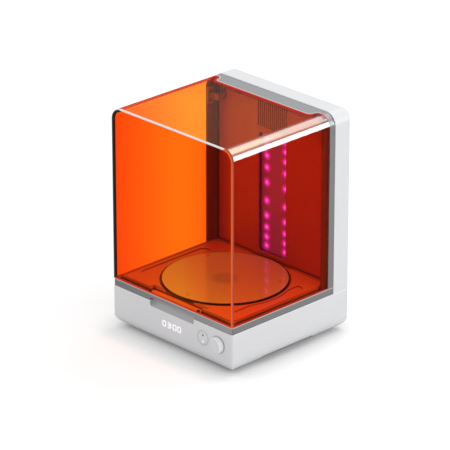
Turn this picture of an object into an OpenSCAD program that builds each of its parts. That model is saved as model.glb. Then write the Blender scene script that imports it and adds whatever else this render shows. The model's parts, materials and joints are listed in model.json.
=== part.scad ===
// Bench-top light curing unit for dental models: a white base and column, a hinged amber
// hood over a clear turntable, and a recessed lamp panel in the chamber's rear wall.
// Lengths are in millimetres. X runs to the right, Y to the rear and Z up.

/* [Body] */
// Width of the white base and column
body_w = 268; // [240:1:300]
// Depth of the white base, without the knob
body_d = 256; // [240:1:280]
// Height of the base, up to its parting line
base_h = 68.5; // [66:0.5:76]
// Height of the column's top over the base's underside
column_top = 370.5; // [340:0.5:400]
// Depth of the column
column_d = 34; // [32:1:44]
// Radius of the base's bottom edges
bottom_r = 24; // [14:1:28]
// Radius of the upright edges
edge_r = 4; // [2:0.5:8]
// Radius of the column's top corners in the front view
column_r = 21; // [14:1:26]
// Radius of the column's rear top edge
column_rear_r = 6; // [3:1:12]
// Wall of the white housings
wall = 3; // [2.5:0.1:3.5]
// Height of the rubber feet under the base
foot_h = 2; // [1.5:0.5:4]
// Radius of a rubber foot
foot_r = 8; // [5:1:11]

/* [Side recesses and finger scoop] */
// Height of the recess along the foot of each side
recess_h = 5.2; // [3:0.2:7]
// Depth of that recess from the side
recess_in = 28; // [12:1:29]
// Length of the level part of the recess
recess_l = 104; // [60:2:120]
// Length of the ramp at each end of the recess
ramp_l = 11; // [6:1:16]
// Distance of the recess's middle in front of the body's middle
recess_fwd = 2; // [0:0.5:6]
// Width of the finger scoop
scoop_w = 99; // [70:1:110]
// Height of the scoop below the parting line
scoop_drop = 9; // [6:0.5:12]
// Height of the scoop's notch in the lid above the parting line
scoop_rise = 5.5; // [4.5:0.5:7]
// Radius of the scoop's hollow
scoop_r = 18; // [16:1:22]
// Radius of the scoop's lower corners
scoop_corner_r = 4; // [2:0.5:5]

/* [Hood and lid frame] */
// Height of the grey band round the lid's foot
band_h = 11.5; // [10.5:0.5:14]
// How far the white housing stands proud of the lid, all round
lid_inset = 0.6; // [0.3:0.1:1.2]
// Radius of the hood's top corners
hood_r = 19.5; // [14:0.5:24]
// Thickness of the amber sheet
sheet = 4; // [3:0.5:5]
// Depth of the grey band at the rear of the hood's sides
side_band = 11; // [9:0.5:16]
// Depth of the grey strip across the top
top_strip = 26.7; // [22:0.5:34]
// Half width of the full-depth part of the top strip
strip_half = 97; // [80:1:100]
// Thickness of the lid frame, inwards
frame_t = 8; // [7:0.5:9.5]
// Width of the foot band, inwards
band_t = 7; // [6:0.5:7.5]
// Depth of the inner flange that the sheet is bonded to
flange_d = 11; // [6:0.5:14]
// Width of the gasket under the foot band
gasket_t = 1.6; // [1.2:0.1:2]

/* [Hinge] */
// Distance of the hinge axis behind the column's front face
hinge_back = 19.2; // [18:0.2:21]
// Depth of the hinge axis under the column's top
hinge_down = 9; // [8.6:0.1:11]
// Radius of the hinge pins
pin_r = 2.5; // [2:0.1:3]
// Radius of the hubs on the hinge arms
hub_r = 5.4; // [4.5:0.1:5.6]
// Thickness of a hinge arm
arm_t = 5; // [3:0.5:6]
// Distance of an arm's middle from the body's side
arm_in = 23.5; // [23:0.5:38]
// Depth of the arm's cross limb under the hinge axis
arm_drop = 21; // [20:0.5:24]
// Height of the arm's cross limb
arm_h = 11; // [8:0.5:12]
// Length of the plate that fastens an arm to the lid frame
arm_plate_h = 29; // [24:1:34]

/* [Chamber floor and turntable] */
// Height of the chamber floor above the parting line
floor_rise = 17; // [14:0.5:19]
// Radius of the turntable
table_r = 100.5; // [80:0.5:101]
// Thickness of the turntable
table_t = 4.5; // [3:0.5:6]
// Distance of the turntable's axis in front of the body's middle
table_fwd = 11.8; // [10:0.1:13]
// Gap round the turntable in its recess
table_gap = 2.5; // [2:0.1:3]
// Depth of the turntable's recess
table_recess = 4; // [3:0.5:5]
// Radius of the turntable's hub
table_hub_r = 20; // [12:1:26]
// Radius of the circle that the three studs stand on
stud_circle_r = 87; // [60:1:90]
// Radius of the drive spindle
spindle_r = 4; // [3:0.5:5]
// Length of the sunk pads beside the turntable
pad_l = 140; // [100:1:150]
// Distance of the pads' outer edges from the floor's edges
pad_in = 11; // [9:0.5:16]

/* [Lamp panel] */
// Width of the lamp window
window_w = 61; // [50:1:62]
// Height of the lamp window
window_h = 201; // [160:1:210]
// Height of the window's lower edge above the chamber floor
window_up = 9.5; // [6:0.5:14]
// Half width of the raised console round the window
console_half = 37; // [34:1:42]
// Width of the console's sloping shoulders
shoulder = 13; // [8:1:18]
// How far the console stands out from the rear wall
console_out = 2.4; // [1.6:0.1:3]
// Distance between the two columns of lamps
lamp_pitch_x = 41; // [30:1:44]
// Number of air slots over the window
slot_count = 15; // [9:2:17]
// Pitch of the air slots
slot_pitch = 4.4; // [4:0.1:5]
// Width of an air slot
slot_w = 2; // [1.5:0.1:2.4]
// Gap between the lamp window and the air slots
slot_gap = 10; // [8:0.5:14]
// Distance of the slots' upper ends below the rear wall's top
slot_down = 8.9; // [6:0.1:12]

/* [Controls] */
// Depth of the knob and button under the parting line
control_down = 24.5; // [22.5:0.5:30]
// Distance of the knob's axis from the body's side
knob_in = 30.2; // [28:0.2:36]
// Diameter of the knob
knob_d = 25.5; // [18:0.5:28]
// How far the knob stands out
knob_out = 9; // [6:0.5:12]
// Distance between the axes of the push button and the knob
button_gap = 33.8; // [30:0.2:44]
// Diameter of the push button
button_d = 20; // [14:0.5:22]
// Travel of the push button
button_travel = 0.8; // [0.5:0.1:1]
// Height of a display digit
digit_h = 10; // [8:0.5:12]
// Width of a display digit
digit_w = 7.8; // [5:0.2:8]
// Pitch of the display digits
digit_pitch = 10.4; // [9:0.2:11]
// Depth of the middle of the display under the parting line
display_down = 28.5; // [24.5:0.5:32]

/* [Power entry] */
// Distance of the appliance inlet from the body's left side
inlet_in = 50; // [44:1:58]
// Distance between the appliance inlet and the power switch
switch_gap = 44; // [38:1:52]
// Height of the inlet and switch over the base's underside
power_z = 40; // [38:0.5:44]

/* [Hidden] */
$fn = 64;

// Clearances
fit = 0.3;            // between fixed mouldings and between bodies that pass each other
run = 0.05;           // radial running clearance of pins and shafts
seam = 0.4;           // visible seam between the lid and the base
over = 1;             // how far a cut runs past the face that it opens

// Housing planes
front_y = -body_d / 2;
rear_y = body_d / 2;
column_y = rear_y - column_d;
ledge_z = base_h - 3;
ledge_w = 1.8;
plate_t = 1.8;
plate_w = body_w - 2 * bottom_r - 24;
plate_d = body_d - 2 * bottom_r - 16;
plate_lip = 6;
side_x = body_w / 2;
rear_out = 3;         // how far the inlet's screw heads stand out at the rear
flange_t = 1.8;
shift_y = (knob_out - rear_out) / 2;

// Lid planes
lid_w = body_w - 2 * lid_inset;
lid_front = front_y + lid_inset;
lid_rear = column_y - lid_inset;
lid_top = column_top - 1;
band_z = base_h + seam;
glass_z = base_h + band_h + seam;
sheet_rear = lid_rear - side_band;
strip_front = lid_rear - top_strip;
strip_r = (sheet_rear - strip_front) / 2;
handle_half = scoop_w / 2 + 6;
scoop_out = 6;             // how far the hollow's axis stands in front of the base
handle_t = scoop_r - scoop_out + 4;

// Hinge
hinge_y = column_y + hinge_back;
hinge_z = column_top - hinge_down;
arm_x = side_x - arm_in;
arm_z1 = hinge_z - arm_drop;
arm_z0 = arm_z1 - arm_h;
arm_slot_w = arm_t + 2 * 0.7;
ear_t = 5;
ears_x0 = arm_x - arm_slot_w / 2 - ear_t;
ears_x1 = arm_x + arm_slot_w / 2 + ear_t;
torque_l = 12.5;
relief_r = sqrt(hinge_back * hinge_back + hinge_down * hinge_down) + 0.4;
web_y = sheet_rear - 5.5;
flange_t_in = frame_t - 0.8 - sheet;
plate_in = 4;              // thickness of an arm's plate
plate_x = lid_w / 2 - sheet - flange_t_in - plate_in;
plate_z1 = lid_top - hood_r - 0.5;
plate_z0 = plate_z1 - arm_plate_h;
plate_y = sheet_rear - flange_d - 2;

// Floor and turntable
floor_z = base_h + floor_rise;
floor_w = lid_w - 2 * band_t - 3;
floor_front = lid_front + band_t + 1.5;
floor_rear = column_y - fit;
floor_r = 10;
floor_t = 2.6;
rim_h = 0.8;
recess_z = floor_z - table_recess;
table_z = recess_z + 2;
table_y = -table_fwd;
notch_half = handle_half + 2;
pad_back = table_y - 8;
notch_y = lid_front + handle_t + 1.5;
magnet_r = 2;
magnet_h = 2;
magnet_z = base_h - 0.2 - magnet_h;

// Rear wall and lamps
liner_y = column_y - 1.2;
liner_w = lid_w - 2 * frame_t - 5;
liner_z0 = floor_z + fit;
liner_z1 = lid_top - frame_t - 2.6;
liner_open_w = 2 * (console_half + shoulder) + 24;
window_z = floor_z + window_up;
collar = 4.5;
open_z0 = window_z - collar - 2 * fit;
open_z1 = liner_z1 - 8;
pane_t = 2;
pane_y = column_y + 0.4;
lamp_y = pane_y + pane_t + 2.2;
lamp_r = 2.6;
lamp_h = 1.6;
board_t = 1.6;
board_y = lamp_y + lamp_h;
sink_y = board_y + board_t;
sink_rear = rear_y - wall - 5;
window_top = window_z + window_h;
slots_z = window_top + slot_gap;
slot_l = liner_z1 - slot_down - slots_z;
blower_half = (liner_z1 - window_top - 6.9) / 2;
blower_z = window_top + 4 + blower_half;
blower_r = blower_half - 4;
blower_y0 = column_y + 11.5;
blower_y1 = rear_y - wall - 2.2;
hub_in = 9;                // radius of the impeller's hub
pivot_r = 2;               // radius of the impeller's pivot
lamp_steps = [for (share = [0.155, 0.411, 0.61, 0.777, 0.928]) share * window_h / 2];
sensor_x = -side_x + 59;

// Rear cover
cover_w = body_w - 52;
cover_z0 = base_h + 16;
cover_z1 = column_top - 18;
cover_t = 1.6;
cover_lip = 9;

// Controls
control_z = base_h - control_down;
display_z = base_h - display_down;
knob_x = side_x - knob_in;
button_x = knob_x - button_gap;
inlet_x = -side_x + inlet_in;
switch_x = inlet_x + switch_gap;
button_r = button_d / 2;
knob_r = knob_d / 2;
shaft_r = 3;
rotor_r = 5;
inner_front = front_y + wall;
board = [140, 50, 1.6];    // main board
board_up = 8;              // its height over the bottom plate
board_mid = front_y + 69;  // its middle
supply = [80, 68, 32];     // power supply
bracket_x = 29;            // distance of the motor bracket's posts from the axis

// Places the model so that its feet stand at zero and its outer box is centred.
module placed() {
  translate([0, shift_y, foot_h]) children();
}

module rounded(w, h, r) {
  square([w - 2 * r, h], center = true);
  square([w, h - 2 * r], center = true);
  for (x = [-1, 1], y = [-1, 1])
    translate([x * (w / 2 - r), y * (h / 2 - r)]) circle(r);
}

// Outline with round top corners, from z0 to z1.
module arch(w, z0, z1, r) {
  translate([-w / 2, z0]) square([w, z1 - z0 - r]);
  translate([-w / 2 + r, z0]) square([w - 2 * r, z1 - z0]);
  for (s = [-1, 1]) translate([s * (w / 2 - r), z1 - r]) circle(r);
}

// Outline with round bottom corners, from z0 to z1.
module tub(w, z0, z1, r) {
  translate([-w / 2, z0 + r]) square([w, z1 - z0 - r]);
  translate([-w / 2 + r, z0]) square([w - 2 * r, z1 - z0]);
  for (s = [-1, 1]) translate([s * (w / 2 - r), z0 + r]) circle(r);
}

module along_y(y0, y1) {
  translate([0, y1, 0]) rotate([90, 0, 0]) linear_extrude(y1 - y0) children();
}

module along_x(x0, x1) {
  translate([x0, 0, 0]) rotate([90, 0, 90]) linear_extrude(x1 - x0) children();
}

module along_z(z0, z1) {
  translate([0, 0, z0]) linear_extrude(z1 - z0) children();
}

module block(x0, x1, y0, y1, z0, z1) {
  translate([x0, y0, z0]) cube([x1 - x0, y1 - y0, z1 - z0]);
}

module rod_x(x0, x1, y, z, r) {
  translate([x0, y, z]) rotate([0, 90, 0]) cylinder(h = x1 - x0, r = r);
}

module rod_y(y0, y1, x, z, r) {
  translate([x, y1, z]) rotate([90, 0, 0]) cylinder(h = y1 - y0, r = r);
}

module rod_z(z0, z1, x, y, r) {
  translate([x, y, z0]) cylinder(h = z1 - z0, r = r);
}

module both_sides() {
  children();
  mirror([1, 0, 0]) children();
}

// The base's soft block: front, side and top outlines that meet in mitred round edges.
module soft_block(inset, z1) {
  w = body_w - 2 * inset;
  d = body_d - 2 * inset;
  r = bottom_r - inset;
  intersection() {
    along_y(-d / 2, d / 2) tub(w, inset, z1, r);
    along_x(-w / 2, w / 2) tub(d, inset, z1, r);
    along_z(inset - over, z1) rounded(w, d, max(edge_r - inset, 0.8));
  }
}

// Section of a side recess: level in the middle, with a ramp at each end.
module recess_section(grow) {
  half = recess_l / 2 + grow;
  translate([-recess_fwd, 0])
    polygon([[-half - ramp_l, -over], [-half - ramp_l, 0], [-half, recess_h + grow],
             [half, recess_h + grow], [half + ramp_l, 0], [half + ramp_l, -over]]);
}

module scoop_cut() {
  intersection() {
    along_y(front_y - over, front_y + scoop_r)
      tub(scoop_w, base_h - scoop_drop, base_h + scoop_rise, scoop_corner_r);
    rod_x(-scoop_w, scoop_w, front_y - scoop_out, base_h + scoop_rise + 2.5, scoop_r);
  }
}

module base_housing() {
  color("whitesmoke") placed() difference() {
    union() {
      difference() {
        soft_block(0, base_h);
        soft_block(wall, base_h + over);
      }
      // ledge that carries the chamber floor
      difference() {
        along_z(ledge_z - 3, ledge_z) rounded(body_w - wall, body_d - wall, edge_r);
        along_z(ledge_z - 4, ledge_z + over)
          rounded(body_w - 2 * (wall + ledge_w), body_d - 2 * (wall + ledge_w), edge_r);
        block(-side_x, side_x, column_y, rear_y, ledge_z - 4, ledge_z + over);
      }
      // floor over the side recesses and wall behind the finger scoop
      intersection() {
        soft_block(wall / 2, base_h);
        union() {
          both_sides() along_x(side_x - recess_in - wall, side_x) recess_section(wall);
          block(-handle_half, handle_half, front_y, front_y + scoop_r - scoop_out + wall,
                base_h - scoop_drop - wall, base_h);
        }
      }
      // land round the bottom opening
      difference() {
        along_z(plate_t, wall + 1.5) rounded(plate_w + 6, plate_d + 6, edge_r + 4);
        along_z(0, wall + 3)
          rounded(plate_w - 2 * plate_lip, plate_d - 2 * plate_lip, edge_r + 2);
      }
    }
    along_z(-over, plate_t) rounded(plate_w + 2 * fit, plate_d + 2 * fit, edge_r + 2);
    along_z(-over, wall + 4)
      rounded(plate_w - 2 * plate_lip, plate_d - 2 * plate_lip, edge_r + 2);
    both_sides() along_x(side_x - recess_in, side_x + over) recess_section(0);
    scoop_cut();
    rod_y(front_y - over, inner_front + over, button_x, control_z, button_r + fit);
    rod_y(front_y - over, inner_front + over, knob_x, control_z, 5);
    block(inlet_x - 14.3, inlet_x + 14.3, rear_y - 2 * wall, rear_y + over,
          power_z - 10.8, power_z + 10.8);
    block(switch_x - 7.3, switch_x + 7.3, rear_y - 2 * wall, rear_y + over,
          power_z - 10.8, power_z + 10.8);
    for (s = [-1, 1]) rod_y(rear_y - 2 * wall, rear_y + over, inlet_x + s * 20, power_z, 1.5);
    catches() rod_z(magnet_z, base_h + over, 0, 0, magnet_r);
    plate_screws() cylinder(h = 12, r = 1.6, center = true);
  }
}

// Places its children at the bottom plate's screws.
module plate_screws() {
  for (x = [-1, 0, 1], y = [-1, 1])
    translate([x * (plate_w / 2 - 3), y * (plate_d / 2 - 3), 0]) children();
}

module bottom_plate() {
  color("lightgray") placed() difference() {
    along_z(0, plate_t) rounded(plate_w, plate_d, edge_r + 2);
    plate_screws() cylinder(h = 12, r = 1.6, center = true);
    // air inlet slots
    for (i = [-7:7]) translate([i * 7, 40, 0]) cube([3, 44, 3 * plate_t], center = true);
  }
}

module rubber_feet() {
  color("dimgray") placed()
    for (x = [-1, 1], y = [-1, 1])
      translate([x * (plate_w / 2 - 16), y * (plate_d / 2 - 16), -foot_h]) {
        cylinder(h = foot_h, r = foot_r);
        translate([0, 0, foot_h / 2]) cylinder(h = foot_h / 2, r = foot_r + 0.6);
      }
}

module base_screws() {
  color("silver") placed() plate_screws() {
    translate([0, 0, -1.2]) difference() {
      cylinder(h = 1.2, r = 2.8);
      cube([3.6, 0.8, 1], center = true);
    }
    cylinder(h = wall + 1.4, r = 1.55);
  }
}

module column_block(inset, z0, y0) {
  w = body_w - 2 * inset;
  top = column_top - inset;
  intersection() {
    along_y(y0, rear_y) arch(w, z0, top, column_r - inset);
    along_x(-w / 2, w / 2) {
      d = 2 * (rear_y - inset);
      r = max(column_rear_r - inset, 1);
      arch(d, z0, top, r);
    }
    along_z(z0, top) rounded(w, body_d - 2 * inset, max(edge_r - inset, 0.8));
  }
}

module arm_slot(y0, y1) {
  both_sides() block(arm_x - arm_slot_w / 2, arm_x + arm_slot_w / 2, y0, y1,
                     arm_z0 - 1.5, hinge_z + 4.2);
}

module column_housing() {
  color("whitesmoke") placed() difference() {
    column_block(0, base_h, column_y);
    column_block(wall, base_h - over, column_y + wall);
    // opening behind the rear wall moulding
    along_y(column_y - over, column_y + wall + over) translate([0, (open_z0 + open_z1) / 2])
      rounded(liner_open_w, open_z1 - open_z0, edge_r);
    // rear opening and the rebate of its cover
    along_y(rear_y - wall - over, rear_y + over) translate([0, (cover_z0 + cover_z1) / 2])
      rounded(cover_w - 2 * cover_lip, cover_z1 - cover_z0 - 2 * cover_lip, edge_r);
    along_y(rear_y - cover_t, rear_y + over) translate([0, (cover_z0 + cover_z1) / 2])
      rounded(cover_w + 2 * fit, cover_z1 - cover_z0 + 2 * fit, edge_r + fit);
    cover_screws() rod_y(rear_y - 10, rear_y + over, 0, 0, 1.5);
    arm_slot(column_y - over, column_y + wall + over);
    // eased front top edge
    difference() {
      block(-side_x, side_x, column_y - over, column_y + 1, column_top - 1, column_top + over);
      rod_x(-side_x, side_x, column_y + 1, column_top - 1, 1);
    }
  }
}

// Places its children at the rear cover's screws.
module cover_screws() {
  for (x = [-1, 1], z = [cover_z0 + 5, (cover_z0 + cover_z1) / 2, cover_z1 - 5])
    translate([x * (cover_w / 2 - 5), 0, z]) children();
}

module rear_cover() {
  rows_low = 15;
  rows_top = 9;
  vent_w = 56;
  color("gainsboro") placed() difference() {
    along_y(rear_y - cover_t, rear_y) difference() {
      translate([0, (cover_z0 + cover_z1) / 2]) rounded(cover_w, cover_z1 - cover_z0, edge_r);
      for (i = [0:rows_low - 1], s = [-1, 1])
        translate([s * (vent_w / 2 + 8), window_z + 12 + i * 9]) rounded(vent_w, 3, 1.4);
      for (i = [0:rows_top - 1])
        translate([0, blower_z + (i - (rows_top - 1) / 2) * 5]) rounded(46, 2.4, 1.1);
    }
    cover_screws() rod_y(rear_y - 10, rear_y + over, 0, 0, 1.5);
  }
}

module rear_cover_screws() {
  color("silver") placed() cover_screws() {
    rod_y(rear_y - wall - 3, rear_y, 0, 0, 1.45);
    difference() {
      rod_y(rear_y, rear_y + 1.1, 0, 0, 2.8);
      translate([0, rear_y + 1.1, 0]) cube([3.4, 1.2, 0.8], center = true);
    }
  }
}

// Plan of the chamber floor's plateau, with the step behind the finger scoop.
module floor_plan(inset, rear = floor_rear) {
  w = floor_w - 2 * inset;
  d = rear - floor_front - 2 * inset;
  difference() {
    translate([0, (floor_front + rear) / 2]) rounded(w, d, floor_r - inset / 2);
    translate([-notch_half - inset, floor_front - over])
      square([2 * (notch_half + inset), notch_y - floor_front + inset + over]);
  }
}

module chamber_floor() {
  flange_w = body_w - 2 * wall - 2 * fit;
  rim_rear = liner_y - console_out + 0.5;
  color("firebrick") placed() difference() {
    union() {
      along_z(ledge_z, base_h - 0.2) difference() {
        translate([0, (inner_front + fit + floor_rear) / 2])
          rounded(flange_w, floor_rear - inner_front - fit, 1);
        translate([-notch_half, inner_front]) square([2 * notch_half, notch_y - inner_front]);
      }
      along_z(ledge_z, floor_z) floor_plan(0);
      along_z(floor_z, floor_z + rim_h) difference() {
        floor_plan(1.5, rim_rear);
        floor_plan(3.5, rim_rear);
      }
    }
    along_z(ledge_z - over, recess_z - floor_t) floor_plan(floor_t);
    rod_z(recess_z, floor_z + over, 0, table_y, table_r + table_gap);
    rod_z(recess_z - 2 * floor_t, recess_z + over, 0, table_y, 8);
    // sunk pads beside the turntable
    along_z(floor_z - 1.2, floor_z + over) difference() {
      translate([0, pad_back]) rounded(floor_w - 2 * pad_in, pad_l, 8);
      translate([0, pad_back]) square([2 * table_r - 5, pad_l + over], center = true);
      translate([0, table_y]) circle(table_r + table_gap + 3);
    }
  }
}

// Places its children at the lid's magnetic catches.
module catches() {
  for (s = [-1, 1]) translate([s * (handle_half - 3), front_y + scoop_r / 2, 0]) children();
}

module base_magnets() {
  color("silver") placed() catches() rod_z(magnet_z, magnet_z + magnet_h, 0, 0, magnet_r);
}

module rear_liner() {
  color("darkred") placed() difference() {
    union() {
      // plate in front of the column, with coved sides
      along_z(liner_z0, liner_z1) {
        translate([-liner_w / 2 + 4, liner_y]) square([liner_w - 8, column_y - liner_y]);
        for (s = [-1, 1]) difference() {
          translate([s * (liner_w / 2 - 2), (liner_y + column_y) / 2])
            square([4, column_y - liner_y], center = true);
          translate([s * (liner_w / 2), liner_y]) circle(1.7);
        }
        polygon([[-console_half - shoulder, liner_y], [-console_half, liner_y - console_out],
                 [console_half, liner_y - console_out], [console_half + shoulder, liner_y],
                 [console_half + shoulder, column_y], [-console_half - shoulder, column_y]]);
      }
      // raised back that sits in the column's opening
      along_y(column_y, column_y + wall) translate([0, (open_z0 + open_z1) / 2])
        rounded(liner_open_w - 2 * fit, open_z1 - open_z0 - 2 * fit, edge_r);
      // collar round the lamp window
      along_y(column_y, board_y) translate([0, window_z + window_h / 2])
        rounded(window_w + 2 * collar, window_h + 2 * collar, 8);
    }
    along_y(liner_y - console_out - over, board_y + over)
      translate([0, window_z + window_h / 2]) rounded(window_w, window_h, 6);
    along_y(pane_y, board_y + over) translate([0, window_z + window_h / 2])
      rounded(window_w + 4, window_h + 4, 7);
    for (i = [0:slot_count - 1])
      block((i - (slot_count - 1) / 2) * slot_pitch - slot_w / 2,
            (i - (slot_count - 1) / 2) * slot_pitch + slot_w / 2,
            liner_y - console_out - over, column_y + wall + over, slots_z, slots_z + slot_l);
    arm_slot(liner_y - over, column_y + wall + over);
  }
}

module lamp_window() {
  color("magenta", 0.3) placed() along_y(pane_y, pane_y + pane_t)
    translate([0, window_z + window_h / 2]) rounded(window_w + 3.6, window_h + 3.6, 6.8);
}

module lamp_board() {
  color("seagreen") placed() along_y(board_y, board_y + board_t)
    translate([0, window_z + window_h / 2]) rounded(window_w + 8, window_h + 8, 6);
}

module lamps() {
  color("violet") placed()
    for (s = [-1, 1], u = [-1, 1], z = lamp_steps)
      translate([s * lamp_pitch_x / 2, board_y, window_z + window_h / 2 + u * z])
        rotate([90, 0, 0]) {
          cylinder(h = 0.6, r = lamp_r);
          translate([0, 0, 0.6]) intersection() {
            translate([0, 0, -1.9]) sphere(lamp_r + 0.3);
            cylinder(h = lamp_h - 0.6, r = lamp_r);
          }
        }
}

module lamp_heatsink() {
  fins = 12;
  color("silver") placed() along_z(window_z, window_z + window_h) {
    translate([-window_w / 2, sink_y]) square([window_w, 2.4]);
    for (i = [0:fins - 1])
      translate([-window_w / 2 + i * (window_w - 1.4) / (fins - 1), sink_y + 2.4])
        square([1.4, sink_rear - sink_y - 2.4]);
  }
}

module blower_housing() {
  half = blower_half;
  back = 2;      // thickness of the wall that holds the spokes
  spoke = 1.5;   // half width of a spoke
  color("dimgray") placed() difference() {
    union() {
      along_y(blower_y0, blower_y1) translate([0, blower_z]) rounded(2 * half, 2 * half, 4);
      for (s = [-1, 1])
        block(s * (half - 2) - 4, s * (half - 2) + 4, column_y + wall, blower_y0,
              blower_z - 5, blower_z + 5);
    }
    rod_y(blower_y0 + back, blower_y1 + over, 0, blower_z, blower_r + 1.5);
    difference() {
      rod_y(blower_y0 - over, blower_y0 + back + over, 0, blower_z, blower_r - 1);
      rod_y(blower_y0 - 2 * over, blower_y0 + 2 * back, 0, blower_z, hub_in - 1);
      block(-half, half, blower_y0 - 2 * over, blower_y0 + 2 * back,
            blower_z - spoke, blower_z + spoke);
      block(-spoke, spoke, blower_y0 - 2 * over, blower_y0 + 2 * back,
            blower_z - half, blower_z + half);
    }
    rod_y(blower_y0 - over, blower_y0 + back + over, 0, blower_z, pivot_r + run);
  }
}

module blower_rotor() {
  blades = 11;
  blade_t = 1.2;
  pitch = 34;
  y0 = blower_y0 + 2.6;
  color("black") placed() union() {
    rod_y(y0, blower_y1 - 0.6, 0, blower_z, hub_in);
    rod_y(blower_y0 + 0.4, y0 + 0.1, 0, blower_z, pivot_r);
    for (i = [0:blades - 1]) translate([0, 0, blower_z]) rotate([0, i * 360 / blades, 0])
      translate([hub_in - 1, y0 + 0.2, -blade_t / 2]) rotate([pitch, 0, 0])
        cube([blower_r - hub_in + 0.6, 8, blade_t]);
  }
}

// Coil block between the slots and the blower, with ten passages for the air.
module heater_element() {
  half = (slot_count - 1) * slot_pitch / 2 - 0.8;
  passages = 10;
  pitch = (2 * half - 4) / passages;
  color("goldenrod") placed() difference() {
    block(-half, half, column_y + wall + 0.4, blower_y0 - 0.6, slots_z + 2, slots_z + slot_l - 2);
    for (i = [0:passages - 1])
      block(pitch * (i - passages / 2) + 1, pitch * (i - passages / 2) + pitch - 1,
            column_y + wall - over, blower_y0 + over, slots_z + 6, slots_z + slot_l - 6);
    rod_y(blower_y0 - 2, blower_y0, 0, blower_z, hub_in - 0.4);
    for (s = [-1, 1])
      block(s * (blower_r + 2) - 4.5, s * (blower_r + 2) + 4.5, column_y + wall, blower_y0,
            blower_z - 5.5, blower_z + 5.5);
  }
}

module lid_sensor() {
  color("black") placed() {
    block(sensor_x - 7, sensor_x + 7, liner_y - 6, liner_y, liner_z1 - 9, liner_z1 - 1);
    block(sensor_x - 5, sensor_x + 5, liner_y - 9, liner_y - 6, liner_z1 - 5, liner_z1 - 2);
  }
}

// Two ears and a foot on each side carry the hinge pins.
module hinge_mounts() {
  ear_top = 4.6;
  head_h = 14;
  color("gray") placed() both_sides() difference() {
    union() {
      for (x = [ears_x0, ears_x1 - ear_t]) along_x(x, x + ear_t) {
        translate([column_y + wall, arm_z0]) square([9, hinge_z - arm_z0 - 9]);
        translate([column_y + wall, hinge_z - head_h]) square([hinge_back - wall, head_h]);
        translate([hinge_y, hinge_z]) circle(ear_top);
        translate([hinge_y - 1, hinge_z - head_h]) square([1 + ear_top, head_h]);
      }
      block(ears_x0, ears_x1, column_y + wall, column_y + wall + 4, arm_z0 - 12, arm_z0 - 2);
    }
    rod_x(ears_x0 - over, ears_x1 + over, hinge_y, hinge_z, pin_r);
  }
}

module hinge_pins() {
  color("silver") placed() both_sides()
    rod_x(ears_x0 - torque_l - 0.5, ears_x1, hinge_y, hinge_z, pin_r);
}

module hinge_torque_units() {
  color("darkgray") placed() both_sides() difference() {
    rod_x(ears_x0 - torque_l, ears_x0, hinge_y, hinge_z, 5);
    rod_x(ears_x0 - torque_l - over, ears_x0 + over, hinge_y, hinge_z, pin_r);
  }
}

// Arm that reaches forward through the column's slot, and the plate that holds the lid.
module hinge_arm() {
  x0 = arm_x - arm_t / 2;
  limb_y = hinge_y - hub_r + 0.4;
  cove = 3;
  end_r = 3;
  color("dimgray") placed() difference() {
    union() {
      along_x(x0, x0 + arm_t) {
        translate([hinge_y, hinge_z]) circle(hub_r);
        translate([limb_y, arm_z0 + 5]) square([2 * hub_r - 0.8, hinge_z - arm_z0 - 5]);
        translate([web_y, arm_z0]) square([hinge_y - web_y, arm_h]);
        translate([hinge_y, arm_z0 + 5]) circle(5);
        translate([limb_y - cove, arm_z1]) difference() {
          square([cove, cove]);
          translate([0, cove]) circle(cove);
        }
      }
      block(x0, plate_x + plate_in, web_y, web_y + 5, arm_z0, arm_z1);
      along_x(plate_x, plate_x + plate_in) {
        translate([plate_y + end_r, plate_z0]) square([web_y + 2 - plate_y, arm_plate_h]);
        translate([plate_y, plate_z0 + end_r])
          square([web_y + 5 - plate_y, arm_plate_h - 2 * end_r]);
        for (z = [plate_z0 + end_r, plate_z1 - end_r])
          translate([plate_y + end_r, z]) circle(end_r);
      }
    }
    rod_x(x0 - over, x0 + arm_t + over, hinge_y, hinge_z, pin_r + run);
    arm_screws() rod_x(plate_x - over, plate_x + plate_in + over, 0, 0, 1.5);
  }
}

// Places its children at the screws of one hinge arm.
module arm_screws() {
  for (z = [plate_z0 + 7, plate_z1 - 7]) translate([0, plate_y + 5, z]) children();
}

module hinge_arm_right() { hinge_arm(); }

module hinge_arm_left() { mirror([1, 0, 0]) hinge_arm(); }

module hinge_arm_screws() {
  color("black") placed() both_sides() arm_screws() {
    rod_x(plate_x - 1.2, plate_x, 0, 0, 2.6);
    rod_x(plate_x, plate_x + plate_in + flange_t_in - 0.4, 0, 0, 1.45);
  }
}

module gearmotor() {
  color("dimgray") placed() difference() {
    union() {
      rod_z(recess_z - 17, recess_z - 10, 0, table_y, 19);
      rod_z(recess_z - 44, recess_z - 17, 0, table_y, 14);
    }
    rod_z(recess_z - 15, recess_z - 9, 0, table_y, spindle_r + run);
  }
}

module motor_bracket() {
  color("gray") placed() difference() {
    union() {
      translate([0, table_y, recess_z - 10]) linear_extrude(2) rounded(70, 44, 6);
      for (x = [-bracket_x, bracket_x]) rod_z(recess_z - 8, recess_z - floor_t, x, table_y, 4);
    }
    rod_z(recess_z - 12, recess_z, 0, table_y, 11);
    for (x = [-bracket_x, bracket_x]) rod_z(recess_z - 12, recess_z - 4, x, table_y, 1.6);
  }
}

module motor_screws() {
  color("silver") placed() {
    for (x = [-bracket_x, bracket_x]) {
      rod_z(recess_z - 11.6, recess_z - 10, x, table_y, 3);
      rod_z(recess_z - 10, recess_z - 4, x, table_y, 1.55);
    }
  }
}

module drive_spindle() {
  color("silver") placed() union() {
    rod_z(recess_z - 14.6, table_z - 0.4, 0, table_y, spindle_r);
    rod_z(recess_z - 7, recess_z - 5, 0, table_y, spindle_r + 2);
  }
}

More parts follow.
